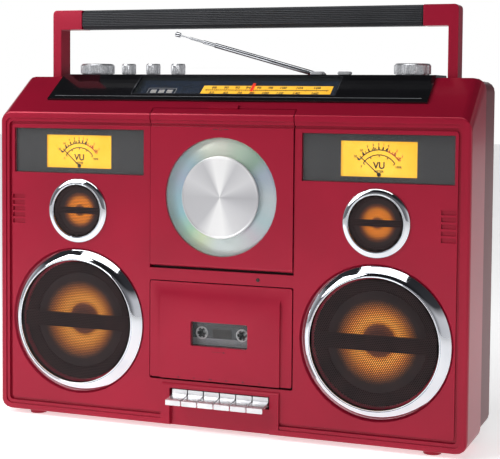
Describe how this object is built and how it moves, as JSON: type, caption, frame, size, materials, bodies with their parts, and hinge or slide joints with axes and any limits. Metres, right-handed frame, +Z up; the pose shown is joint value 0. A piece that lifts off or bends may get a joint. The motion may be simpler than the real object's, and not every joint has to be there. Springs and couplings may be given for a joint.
{
  "type": "boombox",
  "caption": "Retro portable stereo with a sloped radio dial, disc bay, cassette deck, meters, round speakers, carry handle and telescopic antenna.",
  "frame": {"origin": "middle of the footprint, on the surface that the feet stand on", "axes": "+X towards the object's left-hand side as seen by the object, that is the viewer's right when facing the front; the front faces -Y; +Z up"},
  "size_m": [0.49, 0.1344, 0.4205],
  "materials": {
    "red_shell": "semi-gloss moulded deep red",
    "black_gloss": "piano-black gloss",
    "black_moulded": "fine-grained matt black",
    "clear_window": "clear acrylic",
    "lit_dial": "backlit warm yellow print",
    "pointer_red": "fluorescent red",
    "turned_metal": "turned and brushed silver",
    "chrome_plate": "polished chrome plate on brass tube",
    "disc_plastic": "mirrored polycarbonate with a diffracting surface",
    "plated_plastic": "satin and bright metallised plastic",
    "speaker_mesh": "black painted perforated steel",
    "amber_cone": "amber woven cone",
    "pressed_steel": "zinc plated",
    "board_laminate": "green solder mask"
  },
  "bodies": {
    "cabinet": {"front_cabinet": "red_shell", "rear_cover": "red_shell", "top_panel": "black_gloss", "dial_lens": "clear_window", "dial_scale": "lit_dial", "handle_post_left": "red_shell", "handle_post_right": "red_shell", "handle_grip": "black_moulded", "cd_well": "black_moulded", "cassette_well": "black_moulded", "circuit_board": "board_laminate", "power_transformer": "pressed_steel", "vu_window_left": "clear_window", "vu_window_right": "clear_window", "vu_meter_left": "lit_dial", "vu_meter_right": "lit_dial", "woofer_ring_left": "plated_plastic", "woofer_ring_right": "plated_plastic", "woofer_grille_left": "speaker_mesh", "woofer_grille_right": "speaker_mesh", "woofer_frame_left": "pressed_steel", "woofer_frame_right": "pressed_steel", "tweeter_left": "plated_plastic", "tweeter_right": "plated_plastic", "tweeter_grille_left": "speaker_mesh", "tweeter_grille_right": "speaker_mesh"},
    "battery_lid": {"battery_door": "red_shell"},
    "pointer": {"dial_pointer": "pointer_red"},
    "volume": {"volume_knob": "turned_metal"},
    "tuning": {"tuning_knob": "turned_metal"},
    "bass": {"bass_knob": "turned_metal"},
    "treble": {"treble_knob": "turned_metal"},
    "balance": {"balance_knob": "turned_metal"},
    "function": {"function_switch": "turned_metal"},
    "band": {"band_switch": "turned_metal"},
    "antenna_foot": {"antenna_base": "chrome_plate"},
    "antenna_1": {"antenna_section_1": "chrome_plate"},
    "antenna_2": {"antenna_section_2": "chrome_plate"},
    "antenna_3": {"antenna_section_3": "chrome_plate"},
    "antenna_4": {"antenna_section_4": "chrome_plate"},
    "disc_lid": {"cd_door": "red_shell", "cd_window": "clear_window", "cd_hub_cap": "turned_metal"},
    "disc": {"compact_disc": "disc_plastic", "cd_spindle": "black_moulded"},
    "tape_lid": {"cassette_door": "red_shell", "cassette_window": "clear_window", "cassette": "black_moulded"},
    "reel_left": {"tape_spindle_left": "black_moulded"},
    "reel_right": {"tape_spindle_right": "black_moulded"},
    "record_key": {"key_record": "plated_plastic"},
    "play_key": {"key_play": "plated_plastic"},
    "rewind_key": {"key_rewind": "plated_plastic"},
    "forward_key": {"key_forward": "plated_plastic"},
    "stop_key": {"key_stop": "plated_plastic"},
    "pause_key": {"key_pause": "plated_plastic"},
    "needle_left": {"vu_needle_left": "black_moulded"},
    "needle_right": {"vu_needle_right": "black_moulded"},
    "cone_left": {"woofer_cone_left": "amber_cone"},
    "cone_right": {"woofer_cone_right": "amber_cone"}
  },
  "joints": [
    {"name": "battery_lid_hinge", "type": "hinge", "parent": "cabinet", "child": "battery_lid", "pos_m": [0, 0.06585, 0.0242], "axis": [-1, 0, 0], "range_deg": [0, 80]},
    {"name": "pointer_slide", "type": "slide", "parent": "cabinet", "child": "pointer", "axis": [1, 0, 0], "range_m": [-0.05, 0.08]},
    {"name": "volume_turn", "type": "hinge", "parent": "cabinet", "child": "volume", "pos_m": [-0.171, 0.02075, 0.358], "axis": [0, 0, 1], "range_deg": [-150, 150]},
    {"name": "tuning_turn", "type": "hinge", "parent": "cabinet", "child": "tuning", "pos_m": [0.171, 0.02075, 0.358], "axis": [0, 0, 1], "range_deg": [-390, 240]},
    {"name": "bass_turn", "type": "hinge", "parent": "cabinet", "child": "bass", "pos_m": [-0.1342, 0.02075, 0.358], "axis": [0, 0, 1], "range_deg": [-150, 150]},
    {"name": "treble_turn", "type": "hinge", "parent": "cabinet", "child": "treble", "pos_m": [-0.106, 0.02075, 0.358], "axis": [0, 0, 1], "range_deg": [-150, 150]},
    {"name": "balance_turn", "type": "hinge", "parent": "cabinet", "child": "balance", "pos_m": [-0.0776, 0.02075, 0.358], "axis": [0, 0, 1], "range_deg": [-150, 150]},
    {"name": "function_slide", "type": "slide", "parent": "cabinet", "child": "function", "axis": [1, 0, 0], "range_m": [-0.005, 0.005]},
    {"name": "band_slide", "type": "slide", "parent": "cabinet", "child": "band", "axis": [1, 0, 0], "range_m": [-0.005, 0.005]},
    {"name": "antenna_swivel", "type": "hinge", "parent": "cabinet", "child": "antenna_foot", "pos_m": [0.0685, 0.05225, 0.3483], "axis": [0, 0, 1], "range_deg": [-180, 0]},
    {"name": "antenna_tilt", "type": "hinge", "parent": "antenna_foot", "child": "antenna_1", "pos_m": [0.0685, 0.05225, 0.3525], "axis": [0, 1, 0], "range_deg": [-15, 75]},
    {"name": "antenna_extend_2", "type": "slide", "parent": "antenna_1", "child": "antenna_2", "axis": [-0.9655, 0, 0.2605], "range_m": [-0.013, 0.095]},
    {"name": "antenna_extend_3", "type": "slide", "parent": "antenna_2", "child": "antenna_3", "axis": [-0.9655, 0, 0.2605], "range_m": [-0.0112, 0.082]},
    {"name": "antenna_extend_4", "type": "slide", "parent": "antenna_3", "child": "antenna_4", "axis": [-0.9655, 0, 0.2605], "range_m": [-0.0112, 0.082]},
    {"name": "disc_lid_hinge", "type": "hinge", "parent": "cabinet", "child": "disc_lid", "pos_m": [0, -0.04855, 0.1665], "axis": [1, 0, 0], "range_deg": [0, 50]},
    {"name": "disc_spin", "type": "hinge", "parent": "cabinet", "child": "disc", "pos_m": [0, -0.0435, 0.233], "axis": [0, 1, 0], "continuous": true},
    {"name": "tape_lid_hinge", "type": "hinge", "parent": "cabinet", "child": "tape_lid", "pos_m": [0, -0.04975, 0.0565], "axis": [1, 0, 0], "range_deg": [0, 40]},
    {"name": "reel_left_spin", "type": "hinge", "parent": "cabinet", "child": "reel_left", "pos_m": [-0.02125, -0.03, 0.098], "axis": [0, 1, 0], "continuous": true},
    {"name": "reel_right_spin", "type": "hinge", "parent": "cabinet", "child": "reel_right", "pos_m": [0.02125, -0.03, 0.098], "axis": [0, 1, 0], "continuous": true},
    {"name": "record_press", "type": "hinge", "parent": "cabinet", "child": "record_key", "pos_m": [-0.04275, -0.02675, 0.0335], "axis": [1, 0, 0], "range_deg": [0, 5], "stiffness_Nm_per_rad": 0.05, "springref_deg": -17.19},
    {"name": "play_press", "type": "hinge", "parent": "cabinet", "child": "play_key", "pos_m": [-0.02565, -0.02675, 0.0335], "axis": [1, 0, 0], "range_deg": [0, 5], "stiffness_Nm_per_rad": 0.05, "springref_deg": -17.19},
    {"name": "rewind_press", "type": "hinge", "parent": "cabinet", "child": "rewind_key", "pos_m": [-0.00855, -0.02675, 0.0335], "axis": [1, 0, 0], "range_deg": [0, 5], "stiffness_Nm_per_rad": 0.05, "springref_deg": -17.19},
    {"name": "forward_press", "type": "hinge", "parent": "cabinet", "child": "forward_key", "pos_m": [0.00855, -0.02675, 0.0335], "axis": [1, 0, 0], "range_deg": [0, 5], "stiffness_Nm_per_rad": 0.05, "springref_deg": -17.19},
    {"name": "stop_press", "type": "hinge", "parent": "cabinet", "child": "stop_key", "pos_m": [0.02565, -0.02675, 0.0335], "axis": [1, 0, 0], "range_deg": [0, 5], "stiffness_Nm_per_rad": 0.05, "springref_deg": -17.19},
    {"name": "pause_press", "type": "hinge", "parent": "cabinet", "child": "pause_key", "pos_m": [0.04275, -0.02675, 0.0335], "axis": [1, 0, 0], "range_deg": [0, 5], "stiffness_Nm_per_rad": 0.05, "springref_deg": -17.19},
    {"name": "needle_left_swing", "type": "hinge", "parent": "cabinet", "child": "needle_left", "pos_m": [-0.157, -0.0465, 0.2594], "axis": [0, 1, 0], "range_deg": [0, 85], "stiffness_Nm_per_rad": 0.0002, "springref_deg": -17.19},
    {"name": "needle_right_swing", "type": "hinge", "parent": "cabinet", "child": "needle_right", "pos_m": [0.157, -0.0465, 0.2594], "axis": [0, 1, 0], "range_deg": [0, 85], "stiffness_Nm_per_rad": 0.0002, "springref_deg": -17.19},
    {"name": "cone_left_travel", "type": "slide", "parent": "cabinet", "child": "cone_left", "axis": [0, -1, 0], "range_m": [-0.002, 0.002], "stiffness_N_per_m": 800},
    {"name": "cone_right_travel", "type": "slide", "parent": "cabinet", "child": "cone_right", "axis": [0, -1, 0], "range_m": [-0.002, 0.002], "stiffness_N_per_m": 800}
  ],
  "couplings": [
    {"joint": "pointer_slide", "follows": "tuning_turn", "m_per_rad": -0.0115},
    {"joint": "antenna_extend_3", "follows": "antenna_extend_2", "ratio": 0.85},
    {"joint": "antenna_extend_4", "follows": "antenna_extend_2", "ratio": 0.85},
    {"joint": "reel_right_spin", "follows": "reel_left_spin", "ratio": 1}
  ]
}
